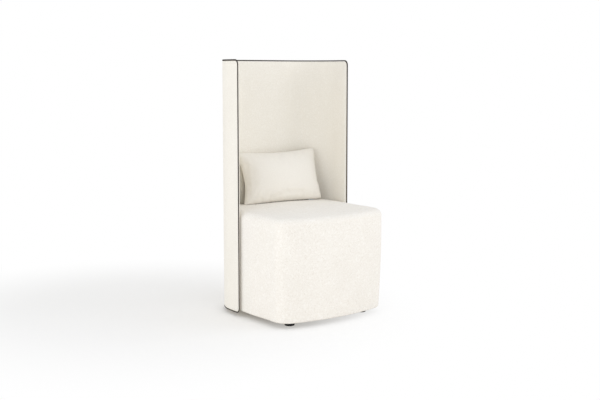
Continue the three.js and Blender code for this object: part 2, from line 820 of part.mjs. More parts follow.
function buildFixings() {
  const group = new THREE.Group();
  for (const fixing of fixings) {
    const { name, panelOut, spacerIn, coreIn } = fixing;
    const spacerLength = coreIn - spacerIn - layerGap;
    const spacer = turned([
      [boltHole, 0], [spacerRadius, 0], [spacerRadius, spacerLength], [boltHole, spacerLength], [boltHole, 0],
    ]);
    const shankLength = coreIn + coreThickness - panelOut + panelThickness + layerGap;
    const bolt = turned([
      [0, -boltHeadHeight],
      [boltHeadRadius, -boltHeadHeight],
      [boltHeadRadius, 0],
      [boltRadius, 0],
      [boltRadius, shankLength],
      [0, shankLength],
    ]);
    const barrelLength = coreThickness - layerGap;
    const nut = insert(boltHole, nutBarrelRadius, barrelLength, nutFlangeRadius, nutFlangeThickness);
    const place = (distance, pieceName, geometry) => {
      const frame = fixingFrame(fixing, distance);
      addPiece(frame, pieceName, geometry, finishes.steel);
      group.add(frame);
    };
    place(spacerIn, `screen_spacer_${name}`, spacer);
    place(panelOut - panelThickness - layerGap, `screen_bolt_${name}`, bolt);
    place(coreIn + coreThickness + layerGap, `screen_tee_nut_${name}`, nut);
  }
  return group;
}

// Lumbar cushion
// Two bulging faces meet at a seam. The seam is drawn in along each side and the corners stand out.
// The rows and columns lie closer together towards the seam, where the faces curve most.
function pillow(width, height, thickness) {
  const points = [];
  const triangles = [];
  const index = new Map();
  const vertex = (column, row, side) => {
    const u = Math.sin((column / cushionColumns - 0.5) * Math.PI);
    const v = Math.sin((row / cushionRows - 0.5) * Math.PI);
    const onSeam = column % cushionColumns === 0 || row % cushionRows === 0;
    const key = `${column},${row},${onSeam ? 0 : side}`;
    if (!index.has(key)) {
      const tuckAtX = cushionCornerTuck * v ** cornerPower;
      const tuckAtZ = cushionCornerTuck * u ** cornerPower;
      const drawIn = u < 0 ? leftDrawIn * (1 - leftSkew * v) : cushionDrawIn;
      const x = u * (width / 2 - drawIn * (1 - v * v) - tuckAtX);
      const z = v * (height / 2 - cushionDrawIn * (1 - u * u) - tuckAtZ);
      const bulge = ((1 - u * u) * (1 - v * v)) ** plumpShare;
      index.set(key, points.push(new THREE.Vector3(x, side * bulge * thickness / 2, z)) - 1);
    }
    return index.get(key);
  };
  for (const side of [-1, 1]) {
    for (let column = 0; column < cushionColumns; column++) {
      for (let row = 0; row < cushionRows; row++) {
        const a = vertex(column, row, side);
        const b = vertex(column + 1, row, side);
        const c = vertex(column + 1, row + 1, side);
        const d = vertex(column, row + 1, side);
        if (side < 0) triangles.push([a, b, c], [a, c, d]);
        else triangles.push([a, c, b], [a, d, c]);
      }
    }
  }
  return geometryFrom(points, triangles);
}

function innerFaceY(x) {
  const past = Math.max(0, Math.abs(x) - bendX);
  return bendY + Math.sqrt(Math.max(0, innerFaceRadius ** 2 - past ** 2));
}

// Leans the cushion back until it meets the screen, then lowers it on to the seat.
function cushionPlace(geometry) {
  const place = new THREE.Group();
  place.rotation.order = 'ZYX';
  place.rotation.set(
    -THREE.MathUtils.degToRad(cushionLean),
    THREE.MathUtils.degToRad(cushionRoll),
    THREE.MathUtils.degToRad(cushionYaw),
  );
  place.position.set(cushionCentreX, 0, 0);
  place.updateMatrixWorld();
  const positions = geometry.attributes.position;
  const points = [];
  for (let i = 0; i < positions.count; i++) {
    points.push(new THREE.Vector3().fromBufferAttribute(positions, i).applyMatrix4(place.matrixWorld));
  }
  const back = Math.min(...points.map(({ x, y }) => innerFaceY(x) - y)) - layerGap;
  const up = Math.max(...points.map(({ x, y, z }) => crownHeight(x, y + back) - z)) + layerGap;
  place.position.set(cushionCentreX, back, up);
  return place;
}

function buildCushion() {
  const outer = pillow(cushionWidth, cushionHeight, cushionThickness);
  const allowance = 2 * cushionSeamAllowance;
  const shrunk = (clearance) => pillow(
    cushionWidth - allowance - 2 * clearance,
    cushionHeight - allowance - 2 * clearance,
    cushionThickness - 2 * (cushionClothThickness + clearance),
  );
  const cloth = toManifold(outer).subtract(toManifold(shrunk(0)));
  const zipFoot = -cushionHeight / 2 - cutOverrun;
  const zipTop = -cushionHeight / 2 + cushionDrawIn + zipDepth;
  const zipBox = (grow) => toManifold(box(
    -zipLength / 2 - grow, zipLength / 2 + grow, -zipGap / 2 - grow, zipGap / 2 + grow, zipFoot, zipTop + grow,
  ));
  const place = cushionPlace(outer);
  const cover = fromManifold(cloth.subtract(zipBox(layerGap)));
  const zip = fromManifold(cloth.intersect(zipBox(0)));
  addPiece(place, 'cushion_cover', cover, finishes.cushionCloth);
  addPiece(place, 'cushion_filling', shrunk(layerGap), finishes.filling);
  addPiece(place, 'cushion_zip', zip, finishes.zip);
  return place;
}

chair.add(buildScreen());
chair.add(buildSeatFrame());
chair.add(buildUpholstery());
chair.add(buildGlides());
chair.add(buildFixings());
chair.add(buildCushion());

export default chair;
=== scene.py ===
import math

import bmesh
import bpy
import numpy as np
from mathutils import Euler, Matrix, Vector, noise
from mathutils.geometry import delaunay_2d_cdt


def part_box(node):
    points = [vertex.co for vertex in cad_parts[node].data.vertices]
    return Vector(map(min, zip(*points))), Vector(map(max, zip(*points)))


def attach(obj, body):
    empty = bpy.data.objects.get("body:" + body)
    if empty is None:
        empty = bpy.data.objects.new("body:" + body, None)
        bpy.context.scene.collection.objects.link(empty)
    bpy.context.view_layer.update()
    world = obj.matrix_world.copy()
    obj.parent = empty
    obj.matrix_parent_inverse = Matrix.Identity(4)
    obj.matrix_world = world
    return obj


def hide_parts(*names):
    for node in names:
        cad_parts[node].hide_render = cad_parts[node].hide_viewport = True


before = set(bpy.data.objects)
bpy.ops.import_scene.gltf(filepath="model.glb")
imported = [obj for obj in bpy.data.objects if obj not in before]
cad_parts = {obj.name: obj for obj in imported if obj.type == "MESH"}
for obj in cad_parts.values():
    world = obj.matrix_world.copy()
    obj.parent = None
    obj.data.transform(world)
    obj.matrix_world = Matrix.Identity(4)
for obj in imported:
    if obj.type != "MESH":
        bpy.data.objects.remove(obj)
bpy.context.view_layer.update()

scene = bpy.context.scene
mm = 0.001  # lengths below are millimetres unless a note says otherwise
quarterTurn, fullTurn = math.pi / 2, math.pi * 2
clothCrease = 50  # degrees from which an edge of cloth is sharp


def clamp(value):
    return min(1.0, max(0.0, value))


def addObject(name, data):
    added = bpy.data.objects.new(name, data)
    scene.collection.objects.link(added)
    return added


# Node trees: a Wire is one socket, and sums written on it become Math nodes

class Wire:
    def __init__(self, tree, socket=None):
        self.tree = tree
        self.socket = socket

    def add(self, kind, settings=None, inputs=None, output=0):
        node = self.tree.nodes.new(kind)
        for name, value in (settings or {}).items():
            setattr(node, name, value)
        for name, value in (inputs or {}).items():
            if isinstance(value, Wire):
                self.tree.links.new(value.socket, node.inputs[name])
            else:
                node.inputs[name].default_value = value
        return Wire(self.tree, node.outputs[output] if node.outputs else None)

    def maths(self, operation, other=None):
        inputs = {0: self} if other is None else {0: self, 1: other}
        return self.add("ShaderNodeMath", {"operation": operation}, inputs)

    def __add__(self, other):
        return self.maths("ADD", other)

    __radd__ = __add__

    def __sub__(self, other):
        return self.maths("SUBTRACT", other)

    def __rsub__(self, other):
        return self.add("ShaderNodeMath", {"operation": "SUBTRACT"}, {0: other, 1: self})

    def __mul__(self, other):
        return self.maths("MULTIPLY", other)

    __rmul__ = __mul__

    def __truediv__(self, other):
        return self.maths("DIVIDE", other)

    def between(self, low, high, kind="LINEAR"):
        settings = {"interpolation_type": kind}
        return self.add("ShaderNodeMapRange", settings, {0: self, 1: low, 2: high, 3: 0.0, 4: 1.0})

    def blend(self, first, second):
        return self.add("ShaderNodeMix", {"data_type": "RGBA"}, {0: self, 6: first, 7: second}, 2)

    def parts(self):
        split = self.add("ShaderNodeSeparateXYZ", None, {0: self})
        return [Wire(self.tree, socket) for socket in split.socket.node.outputs]


def connect(node, links):
    for socket, wire in links.items():
        wire.tree.links.new(wire.socket, node.inputs[socket])


def colour(*levels):
    shares = [level / 255 for level in levels]
    return (*[v / 12.92 if v <= 0.04045 else ((v + 0.055) / 1.055) ** 2.4 for v in shares], 1)


# Camera, at the photograph's viewing angle, in metres and degrees

cameraPlace = {
    "place": (-2.5200, -3.4503, 1.0968),
    "yaw": 36.056,
    "pitch": 5.605,
    "lens": 56.393,
    "shift": -0.06,
}


def addCamera():
    data = bpy.data.cameras.new("camera")
    data.lens = cameraPlace["lens"]
    data.sensor_width = 36
    data.shift_y = cameraPlace["shift"]
    data.clip_start, data.clip_end = 0.05, 100
    scene.camera = addObject("camera", data)
    scene.camera.location = cameraPlace["place"]
    tilt = math.radians(90 - cameraPlace["pitch"])
    scene.camera.rotation_euler = (tilt, 0, math.radians(-cameraPlace["yaw"]))


addCamera()
print("camera placed")


# Studio: a pale floor, an even white room and soft lamps

studio = {
    "room": 0.79,
    "daylight": (0.98, 1.0, 1.04),  # of lamps and room, slightly cool
    "floor": colour(241, 238, 233),
    "floorSize": 30,  # metres
    "floorSeen": colour(225, 226, 227),  # what the camera sees, and the glow that lightens its shadow
    "floorGlow": (0.22, 0.20, 0.165, 1),
    "fadeCentre": (-0.61, 0.44, 0),  # the camera sees white outside an oval, these metres wide and deep
    "fadeReach": (1.35, 1.25, 1),
    "fadeFrom": 0.35,
    "aim": (0, 0, 0.6),
    "lamps": [
        # name, place, width, height, watts
        ("rightLamp", (3.4, -2.8, 2.3), 3.2, 2.6, 48),
        ("leftLamp", (-4.0, -1.4, 0.85), 2.6, 1.6, 29),
        ("rearLamp", (-4.0, 1.4, 0.85), 2.6, 1.6, 21),
        ("frontLamp", (-0.8, -4.6, 1.1), 3.4, 2.1, 26),
    ],
}


def addRoom():
    # whatever is seen directly, in a mirror or through glass is white, and all else gets the daylight
    scene.world = bpy.data.worlds.new("room")
    scene.world.use_nodes = True
    tree = scene.world.node_tree
    rays = Wire(tree).add("ShaderNodeLightPath").socket.node.outputs
    direct = [Wire(tree, rays[f"Is {kind} Ray"]) for kind in ("Camera", "Glossy", "Transmission")]
    seen = (direct[0] + direct[1] + direct[2]).maths("MINIMUM", 1.0)
    strength = seen * (1 - studio["room"]) + studio["room"]
    tint = seen.blend((*studio["daylight"], 1), (1, 1, 1, 1))
    connect(tree.nodes["Background"], {"Strength": strength, "Color": tint})


def addFloor():
    material = bpy.data.materials.new("floorPaper")
    material.use_nodes = True
    material.node_tree.nodes.clear()
    start = Wire(material.node_tree)
    matt = start.add("ShaderNodeBsdfDiffuse", None, {"Color": studio["floor"]})
    tone = start.add("ShaderNodeBsdfDiffuse", None, {"Color": studio["floorSeen"]})
    glow = start.add("ShaderNodeEmission", None, {"Color": studio["floorGlow"]})
    near = start.add("ShaderNodeAddShader", None, {0: tone, 1: glow})
    white = start.add("ShaderNodeEmission", None, {"Strength": 1.0})
    where = start.add("ShaderNodeTexCoord", None, None, "Object")
    across, along, _ = start.add("ShaderNodeMapping", {"vector_type": "TEXTURE"}, {
        "Vector": where, "Location": studio["fadeCentre"], "Scale": studio["fadeReach"],
        "Rotation": (0, 0, math.radians(-cameraPlace["yaw"])),
    }).parts()
    distance = (across * across + along * along).maths("SQRT")
    far = distance.between(studio["fadeFrom"], 1.0, "SMOOTHSTEP")
    faded = start.add("ShaderNodeMixShader", None, {0: far, 1: near, 2: white})
    seen = start.add("ShaderNodeLightPath", None, None, "Is Camera Ray")
    shown = start.add("ShaderNodeMixShader", None, {0: seen, 1: matt, 2: faded})
    start.add("ShaderNodeOutputMaterial", None, {"Surface": shown})

    half = studio["floorSize"] / 2
    mesh = bpy.data.meshes.new("floor")
    corners = [(-half, -half, 0), (half, -half, 0), (half, half, 0), (-half, half, 0)]
    mesh.from_pydata(corners, [], [(0, 1, 2, 3)])
    mesh.materials.append(material)
    addObject("floor", mesh)


def addLamps():
    for name, place, width, height, watts in studio["lamps"]:
        data = bpy.data.lights.new(name, "AREA")
        data.shape = "RECTANGLE"
        data.size, data.size_y = width, height
        data.energy = watts
        data.color = studio["daylight"]
        lamp = addObject(name, data)
        lamp.location = place
        lamp.rotation_euler = (Vector(studio["aim"]) - Vector(place)).to_track_quat("-Z", "Y").to_euler()


addRoom()
addFloor()
addLamps()
scene.view_settings.view_transform = "Standard"
print("studio lit")


# Materials. Patterns read object coordinates, or the piece's own "threads" map, in metres along the cloth

def newMaterial(name, pattern, constants, *looks):
    material = bpy.data.materials.new(name)
    material.use_nodes = True
    shader = material.node_tree.nodes["Principled BSDF"]
    for socket, value in constants.items():
        shader.inputs[socket].default_value = value
    where = Wire(material.node_tree).add("ShaderNodeTexCoord", None, None, "Object")
    # a pattern gives the colour, the bump and for some the roughness
    connect(shader, dict(zip(("Base Color", "Normal", "Roughness"), pattern(where, *looks))))
    return material


def grainOf(where, scale, detail=2.0, roughness=0.5, stretch=None):
    if stretch:
        where = where.add("ShaderNodeMapping", None, {"Vector": where, "Scale": stretch})
    inputs = {"Vector": where, "Scale": scale, "Detail": detail, "Roughness": roughness}
    return where.add("ShaderNodeTexNoise", None, inputs)


def bumpOf(height, depth, strength, under=None):
    inputs = {"Height": height, "Distance": depth * mm, "Strength": strength}
    if under:
        inputs["Normal"] = under
    return height.add("ShaderNodeBump", None, inputs)


clothLooks = {
    # ground, dark and light flecks and the flecks' shares, the scale of their noise, the weave's width and
    # the depth of its bump
    "screenWool": {
        "colours": [(239, 234, 223), (207, 198, 180), (250, 247, 239)], "shares": (0.3, 0.35),
        "fleck": 330.0, "thread": 1.3, "nap": 0.5, "roughness": 0.92, "sheen": 0.18,
    },
    "seatWool": {
        "colours": [(242, 237, 228), (199, 188, 168), (253, 250, 243)], "shares": (0.38, 0.5),
        "fleck": 230.0, "thread": 1.6, "nap": 0.6, "roughness": 0.94, "sheen": 0.22,
    },
    "cushionCotton": {
        "colours": [(236, 231, 221), (222, 215, 201), (246, 242, 234)], "shares": (0.22, 0.25),
        "fleck": 420.0, "thread": 0.9, "nap": 0.35, "roughness": 0.85, "sheen": 0.2,
    },
    "pipingTwill": {
        "colours": [(60, 53, 47), (36, 31, 27), (88, 80, 72)], "shares": (0.5, 0.35),
        "fleck": 700.0, "thread": 0.8, "nap": 0.35, "roughness": 0.85, "sheen": 0.06,
    },
    "zipTape": {
        "colours": [(226, 220, 206), (198, 190, 172), (240, 236, 226)], "shares": (0.3, 0.3),
        "fleck": 900.0, "thread": 0.7, "nap": 0.3, "roughness": 0.8, "sheen": 0.1,
    },
}


def clothPattern(where, look):
    ground, dark, light = [colour(*levels) for levels in look["colours"]]
    flecks = grainOf(where, look["fleck"], 3.0, 0.62)
    curls = grainOf(where, look["fleck"] * 0.47, 2.0, 0.55)
    cloud = grainOf(where, 7.0).between(0.35, 0.7)
    tone = (flecks.between(0.53, 0.70) * look["shares"][0]).blend(ground, dark)
    tone = (curls.between(0.50, 0.68) * look["shares"][1]).blend(tone, light)
    tone = (cloud * 0.06).blend(tone, dark)
    across, along, _ = where.add("ShaderNodeUVMap", {"uv_map": "threads"}).parts()
    pitch = fullTurn / (look["thread"] * mm)
    weave = (across * pitch).maths("SINE") * (along * pitch).maths("SINE") * 0.5 + 0.5
    fuzz = grainOf(where, 1500.0, 3.0, 0.7)
    threads = bumpOf(weave * 0.55 + fuzz * 0.45, look["nap"] * 0.5, 0.55)
    nap = bumpOf(curls * 0.6 + flecks * 0.4, look["nap"] * 1.6, 0.5, threads)
    return tone, nap


def foamPattern(where):
    cells = where.add("ShaderNodeTexVoronoi", None, {"Vector": where, "Scale": 620.0})
    pores = cells.between(0.05, 0.55)
    age = grainOf(where, 11.0).between(0.3, 0.7)
    # the pores' hollows, which the bump sinks, get the darker colour: painted shade in the hollows
    tone = pores.blend(colour(198, 186, 150), age.blend(colour(228, 219, 188), colour(221, 207, 166)))
    return tone, bumpOf(pores, 0.7, 0.6)


def plywoodPattern(where):
    pale, brown, edge = colour(226, 203, 163), colour(205, 175, 128), colour(150, 112, 70)
    figure = grainOf(where, 6.0, 4.0, 0.55, (1.0, 9.0, 9.0))
    pores = grainOf(where, 300.0, 2.0, 0.6, (0.05, 1.0, 1.0))
    face = figure.between(0.3, 0.7).blend(pale, brown)
    face = (pores.between(0.62, 0.75) * 0.35).blend(face, edge)
    _, _, high = where.parts()
    plies = (high * (fullTurn / (3.0 * mm))).maths("SINE").between(-0.2, 0.2)
    tone = (plies * 0.22).blend(face, edge)
    return tone, bumpOf(figure * 0.3 + pores * 0.7, 0.3, 0.5)


def dustClothPattern(where):
    fibres = grainOf(where, 260.0, 4.0, 0.7, (1.0, 0.25, 1.0))
    crossFibres = grainOf(where, 240.0, 4.0, 0.7, (0.25, 1.0, 1.0))
    mesh = fibres * 0.5 + crossFibres * 0.5
    across, along, _ = where.parts()
    bonded = ((across * 1570.0).maths("SINE") * (along * 1570.0).maths("SINE")).between(0.55, 0.8)
    tone = mesh.between(0.4, 0.65).blend(colour(26, 26, 27), colour(52, 52, 53))
    tone = (bonded * 0.5).blend(tone, colour(20, 20, 21))
    return tone, bumpOf(mesh - bonded * 0.4, 0.3, 0.6)


def steelPattern(where):
    spangle = where.add("ShaderNodeTexVoronoi", None, {"Vector": where, "Scale": 380.0}, "Color")
    bright, _, _ = spangle.parts()
    tone = bright.blend(colour(176, 178, 180), colour(206, 208, 210))
    scuffs = grainOf(where, 900.0, 2.0, 0.6)
    return tone, bumpOf(scuffs, 0.05, 0.4), bright * 0.14 + scuffs * 0.16 + 0.22


def speckledPattern(where, ground, speck, scale, depth, smoothest):
    grain = grainOf(where, scale, 3.0, 0.6)
    broad = grainOf(where, 30.0)
    tone = (grain.between(0.45, 0.72) * 0.7 + broad.between(0.4, 0.7) * 0.25).blend(ground, speck)
    return tone, bumpOf(grain, depth, 0.5), grain * 0.18 + smoothest


patterns = {
    # pattern, the shader's constants, and for speckles two colours, scale, depth and least roughness
    "cutFoam": (foamPattern, {"Roughness": 0.95, "Specular IOR Level": 0.2}),
    "birchPly": (plywoodPattern, {"Roughness": 0.62, "Specular IOR Level": 0.35}),
    "dustCloth": (dustClothPattern, {"Roughness": 0.9, "Specular IOR Level": 0.2}),
    "zincSteel": (steelPattern, {"Metallic": 1.0}),
    "hardboard": (speckledPattern, {}, colour(122, 84, 52), colour(92, 62, 38), 420.0, 0.15, 0.61),
    "blackNylon": (speckledPattern, {"Specular IOR Level": 0.4},
                   colour(24, 24, 25), colour(37, 37, 38), 1300.0, 0.06, 0.37),
    "fibreFill": (speckledPattern, {}, colour(244, 243, 240), colour(224, 222, 216), 260.0, 1.2, 0.86),
}
for name, look in clothLooks.items():
    patterns[name] = (clothPattern, {
        "Roughness": look["roughness"], "Specular IOR Level": 0.25,
        "Sheen Weight": look["sheen"], "Sheen Roughness": 0.55,
    }, look)
finishes = {name: newMaterial(name, *row) for name, row in patterns.items()}
print("materials mixed")


# The CAD solids' finishes, by a word in their names

solidFinishes = {
    "cutFoam": ["foam"],
    "birchPly": ["core", "board", "panel", "rib"],
    "hardboard": ["wrap"],
    "zincSteel": ["stud", "insert", "bolt", "nut"],
    "blackNylon": ["pad", "spacer"],
    "fibreFill": ["filling"],
    "screenWool": ["outer_cover", "inner_cover"],
    "seatWool": ["seat_cover"],
    "cushionCotton": ["cushion_cover"],
    "pipingTwill": ["piping"],
    "zipTape": ["zip"],
    "dustCloth": ["dust_cloth"],
}
for name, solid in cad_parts.items():
    for finish, words in solidFinishes.items():
        if any(word in name for word in words):
            solid.data.materials.clear()
            solid.data.materials.append(finishes[finish])
print("solids finished")


# Mesh helpers. Points come in millimetres, and faces are rows of point numbers

def makePiece(name, points, faces, threads, finish):
    mesh = bpy.data.meshes.new(name)
    mesh.from_pydata((np.asarray(points) * mm).tolist(), [], [list(map(int, face)) for face in faces])
    if threads is not None:
        layer = mesh.uv_layers.new(name="threads")
        layer.data.foreach_set("uv", (np.asarray(threads, float) * mm).ravel())
    mesh.materials.append(finishes[finish])
    smooth(mesh)
    return addObject(name, mesh)


def smooth(mesh):
    mesh.polygons.foreach_set("use_smooth", [True] * len(mesh.polygons))
    mesh.update()


def polyline(name, path, cyclic):
    curve = bpy.data.curves.new(name, "CURVE")
    curve.dimensions = "3D"
    spline = curve.splines.new("POLY")
    spline.points.add(len(path) - 1)
    spline.points.foreach_set("co", [value for place in path for value in (*[c * mm for c in place], 1)])
    spline.use_cyclic_u = cyclic
    return addObject(name, curve)


square = ((0, 0), (1, 0), (1, 1), (0, 1))  # steps along and up, round one face


def ringFaces(levels, count):
    # between closed rings of points
    return [tuple((r + b) * count + (k + a) % count for a, b in square)
            for r in range(levels - 1) for k in range(count)]


def quarterArc(steps):
    # cosine and sine from 0 to 90 degrees
    angles = [k / steps * quarterTurn for k in range(steps + 1)]
    return [(math.cos(angle), math.sin(angle)) for angle in angles]


def fan(first, count, middle):
    return [(first + k, first + (k + 1) % count, middle) for k in range(count)]


def placesOf(mesh):
    places = np.empty(len(mesh.vertices) * 3, np.float32)
    mesh.vertices.foreach_get("co", places)
    return places.reshape(-1, 3).astype(float) / mm


def outwards(piece):
    shape = bmesh.new()
    shape.from_mesh(piece.data)
    bmesh.ops.recalc_face_normals(shape, faces=shape.faces)
    shape.to_mesh(piece.data)
    shape.free()
    piece.data.update()
    return piece


def settle(piece):
    # applies the modifiers, and makes a curve a mesh
    graph = bpy.context.evaluated_depsgraph_get()
    graph.update()
    made = bpy.data.meshes.new_from_object(piece.evaluated_get(graph), depsgraph=graph)
    piece.modifiers.clear()
    if piece.type == "CURVE":
        name = piece.name
        bpy.data.objects.remove(piece)
        piece = addObject(name, made)
    else:
        old, piece.data = piece.data, made
        bpy.data.meshes.remove(old)
    made.name = piece.name
    return piece


def thicken(piece, thickness):
    wall = piece.modifiers.new("thickness", "SOLIDIFY")
    wall.thickness = thickness * mm
    wall.offset = -1
    return sharpen(settle(piece), clothCrease)


def sharpen(piece, degrees):
    piece.data.set_sharp_from_angle(angle=math.radians(degrees))
    return piece


def waves(x, y, z, rows):
    # soft unevenness: each row is a size, a height, a seed and a shift
    total = 0.0
    for size, height, seed, shift in rows:
        place = Vector((x / size + seed, (y + shift) / size - seed, z / size + 2 * seed))
        total += height * noise.noise(place)
    return total


def newTree(name, inputs):
    tree = bpy.data.node_groups.new(name, "GeometryNodeTree")
    for label, kind in {"Geometry": "Geometry", **inputs}.items():
        tree.interface.new_socket(name=label, in_out="INPUT", socket_type="NodeSocket" + kind)
    tree.interface.new_socket(name="Geometry", in_out="OUTPUT", socket_type="NodeSocketGeometry")
    entry = tree.nodes.new("NodeGroupInput")
    return {socket.name: Wire(tree, socket) for socket in entry.outputs if socket.name}


def evenPath(wires):
    inputs = {"Curve": wires["Geometry"], "Length": wires["Step"]}
    return wires["Geometry"].add("GeometryNodeResampleCurve", {"mode": "LENGTH"}, inputs)


def closeTree(geometry, finish=None):
    if finish:
        geometry = geometry.add("GeometryNodeSetMaterial", None, {"Geometry": geometry, "Material": finish})
    leave = geometry.tree.nodes.new("NodeGroupOutput")
    geometry.tree.links.new(geometry.socket, leave.inputs[0])
    return geometry.tree


def runTree(piece, tree, values):
    step = piece.modifiers.new(tree.name, "NODES")
    step.node_group = tree
    ids = {item.name: item.identifier for item in tree.interface.items_tree if item.in_out == "INPUT"}
    for label, value in values.items():
        step[ids[label]] = value
    return settle(piece)


def declare(piece, body, node=None):
    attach(piece, body)
    if node:
        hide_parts(node)


# Screen. Its pieces are drawn flat, with a run from the middle of the back, a depth from the outer
# face and a height, and one node tree bends them round the two back corners

screen = {
    "top": 1150,
    "foot": 17,
    "halfWidth": 310,
    "wing": 78,  # straight run of a wing
    "wingY": 49.2,
    "backRadius": 170,
    "freeRadius": 22,
    "cornerSteps": 5,
    "gridStep": 9,
    "cloth": 0.9,
    # inset from the free edge and depth, from where the cloth's flat grid ends
    "outerLoops": [(14, -0.5), (10, -0.35), (7.6, -0.125), (6.2, 0.05), (5.3, 0.45), (4.9, 1.1), (4.8, 1.8)],
    "outerSink": 0,
    "outerWaves": [(140, -0.225, 3.1, 0), (55, -0.075, 5.2, 9)],
    "innerWaves": [(150, 0.175, 7.7, 0), (60, 0.07, 1.4, 4)],
    "innerSink": 0.2,
    "innerFoamDepth": 6.8,
    "innerRound": 4.2,
    "innerSteps": 7,
    "edgeInset": 3.4,  # from the piping's outline to the covers' edge
    "notch": 4.7,
    "tuck": [(-0.15, 1.5), (-0.05, 0.9), (0.4, 0.4), (1.4, 0.2)],  # from that edge and notch
    "piping": 5,
    "pipingInset": 1.9,
    "pipingSides": 12,
    "pipingSteps": 12,  # round a free corner
    "pipingStep": 3,
    "pipingSwell": 0.34,
    "pipingRise": 0.8,
}
bendX = screen["halfWidth"] - screen["backRadius"]
bendY = screen["wingY"] + screen["wing"]
halfRun = screen["wing"] + screen["backRadius"] * quarterTurn + bendX
innerDepth = screen["innerFoamDepth"] + screen["innerRound"]
# the centres of the four free corners, as run and height
coreHalf = halfRun - screen["freeRadius"]
coreLow, coreHigh = screen["foot"] + screen["freeRadius"], screen["top"] - screen["freeRadius"]
bendSizes = {
    "Corner X": bendX, "Corner Y": bendY, "Corner Radius": screen["backRadius"],
    "Half Run": halfRun, "Wing": screen["wing"],
}


def bendTree():
    wires = newTree("bendRound", {size: "Float" for size in bendSizes})
    geometry, radius = wires["Geometry"], wires["Corner Radius"]
    run, depth, height = geometry.add("GeometryNodeInputPosition").parts()
    side = run.maths("SIGN")
    past = wires["Half Run"] - run.maths("ABSOLUTE") - wires["Wing"]
    angle = (past / radius).maths("MAXIMUM", 0.0).maths("MINIMUM", quarterTurn)
    over = past - angle * radius
    reach = radius - depth
    x = side * (wires["Corner X"] + reach * angle.maths("COSINE") - over.maths("MAXIMUM", 0.0))
    y = wires["Corner Y"] + reach * angle.maths("SINE") + over.maths("MINIMUM", 0.0)
    place = geometry.add("ShaderNodeCombineXYZ", None, {0: x, 1: y, 2: height})
    return closeTree(geometry.add("GeometryNodeSetPosition", None, {"Geometry": geometry, "Position": place}))


bendRound = bendTree()


def bendPiece(piece):
    return runTree(piece, bendRound, {size: value * mm for size, value in bendSizes.items()})


def fromCore(places):
    # the nearest point between the corner centres, the way out from it and the distance
    core = np.stack([places[:, 0].clip(-coreHalf, coreHalf), places[:, 1].clip(coreLow, coreHigh)], 1)
    out = places - core
    reach = np.linalg.norm(out, axis=1)
    return core, out / reach[:, None], reach


def panelGrid(inset):
    radius = screen["freeRadius"] - inset
    arc = [radius * cos for cos, _ in quarterArc(screen["cornerSteps"])[:-1]]
    middleRows = round((coreHigh - coreLow) / screen["gridStep"])
    rows = [(coreLow - drop, drop) for drop in arc]
    rows += [(coreLow + (coreHigh - coreLow) * k / middleRows, 0) for k in range(middleRows + 1)]
    rows += [(coreHigh + drop, drop) for drop in reversed(arc)]
    columns = 2 * round(halfRun / screen["gridStep"])
    points = []
    for height, drop in rows:
        span = coreHalf + math.sqrt(max(0.0, radius * radius - drop * drop))
        points += [(span * (2 * k / columns - 1), height) for k in range(columns + 1)]
    return np.array(points), len(rows), columns + 1


def panelCloth(side):
    # a grid over the panel's face, and loops of points round its edge
    last, *loops = screen["outerLoops"] if side == "outer" else innerLoops()
    flat, rows, columns = panelGrid(last[0])
    index = np.arange(rows * columns).reshape(rows, columns)
    edge = np.concatenate([index[0, :-1], index[:-1, -1], index[-1, :0:-1], index[:0:-1, 0]])
    rim = flat[edge]
    core, out, _ = fromCore(rim)
    level, uneven = last[1] - screen[side + "Sink"], screen[side + "Waves"]
    points = [(run, level + waves(run, 0, height, uneven), height) for run, height in flat]
    cloth = list(flat)
    faces = [tuple(index[r + b, c + a] for a, b in square)
             for r in range(rows - 1) for c in range(columns - 1)]
    previous, travelled = edge, 0.0
    for inset, depth in loops:
        travelled += math.dist((inset, depth), last)
        last = (inset, depth)
        loop = len(points) + np.arange(len(edge))
        for base, way, mapped in zip(core, out, rim):
            run, height = base + way * (screen["freeRadius"] - inset)
            points.append((run, depth, height))
            cloth.append(mapped + way * travelled)
        faces += zip(previous, loop, np.roll(loop, -1), np.roll(previous, -1))
        previous = loop
    if side == "outer":
        faces = [face[::-1] for face in faces]
    threads = np.array(cloth)[np.array(faces)].reshape(-1, 2)
    piece = makePiece(f"screen{side.title()}Cloth", points, faces, threads, "screenWool")
    return thicken(bendPiece(piece), screen["cloth"])


def innerLoops():
    edge, rounding, foam = screen["edgeInset"], screen["innerRound"], screen["innerFoamDepth"]
    arc = quarterArc(screen["innerSteps"])
    loops = [(edge + rounding - rounding * sin, foam + rounding * cos) for cos, sin in arc]
    return loops + [(edge + inset, screen["notch"] + depth) for inset, depth in screen["tuck"]]


def captured(geometry, label, value):
    mark = geometry.add("GeometryNodeCaptureAttribute", None, {"Geometry": geometry})
    node = mark.socket.node
    node.capture_items.new("FLOAT", label)
    geometry.tree.links.new(value.socket, node.inputs[1])
    return mark, Wire(geometry.tree, node.outputs[1])


def pipingTree():
    wires = newTree("pipingSweep", {"Radius": "Float", "Step": "Float", "Sides": "Int", "Finish": "Material"})
    path = evenPath(wires)
    path, run = captured(path, "run", path.add("GeometryNodeSplineParameter", None, None, "Length"))
    inputs = {"Resolution": wires["Sides"], "Radius": wires["Radius"]}
    ring = path.add("GeometryNodeCurvePrimitiveCircle", None, inputs)
    ring, around = captured(ring, "around", ring.add("GeometryNodeSplineParameter", None, None, "Factor"))
    tube = path.add("GeometryNodeCurveToMesh", None, {"Curve": path, "Profile Curve": ring})
    girth = screen["piping"] * math.pi * mm
    threads = path.add("ShaderNodeCombineXYZ", None, {0: run, 1: around * girth})
    mapped = path.add("GeometryNodeStoreNamedAttribute", {"data_type": "FLOAT2", "domain": "CORNER"}, {
        "Geometry": tube, "Name": "threads", "Value": threads,
    })
    return closeTree(mapped, wires["Finish"])


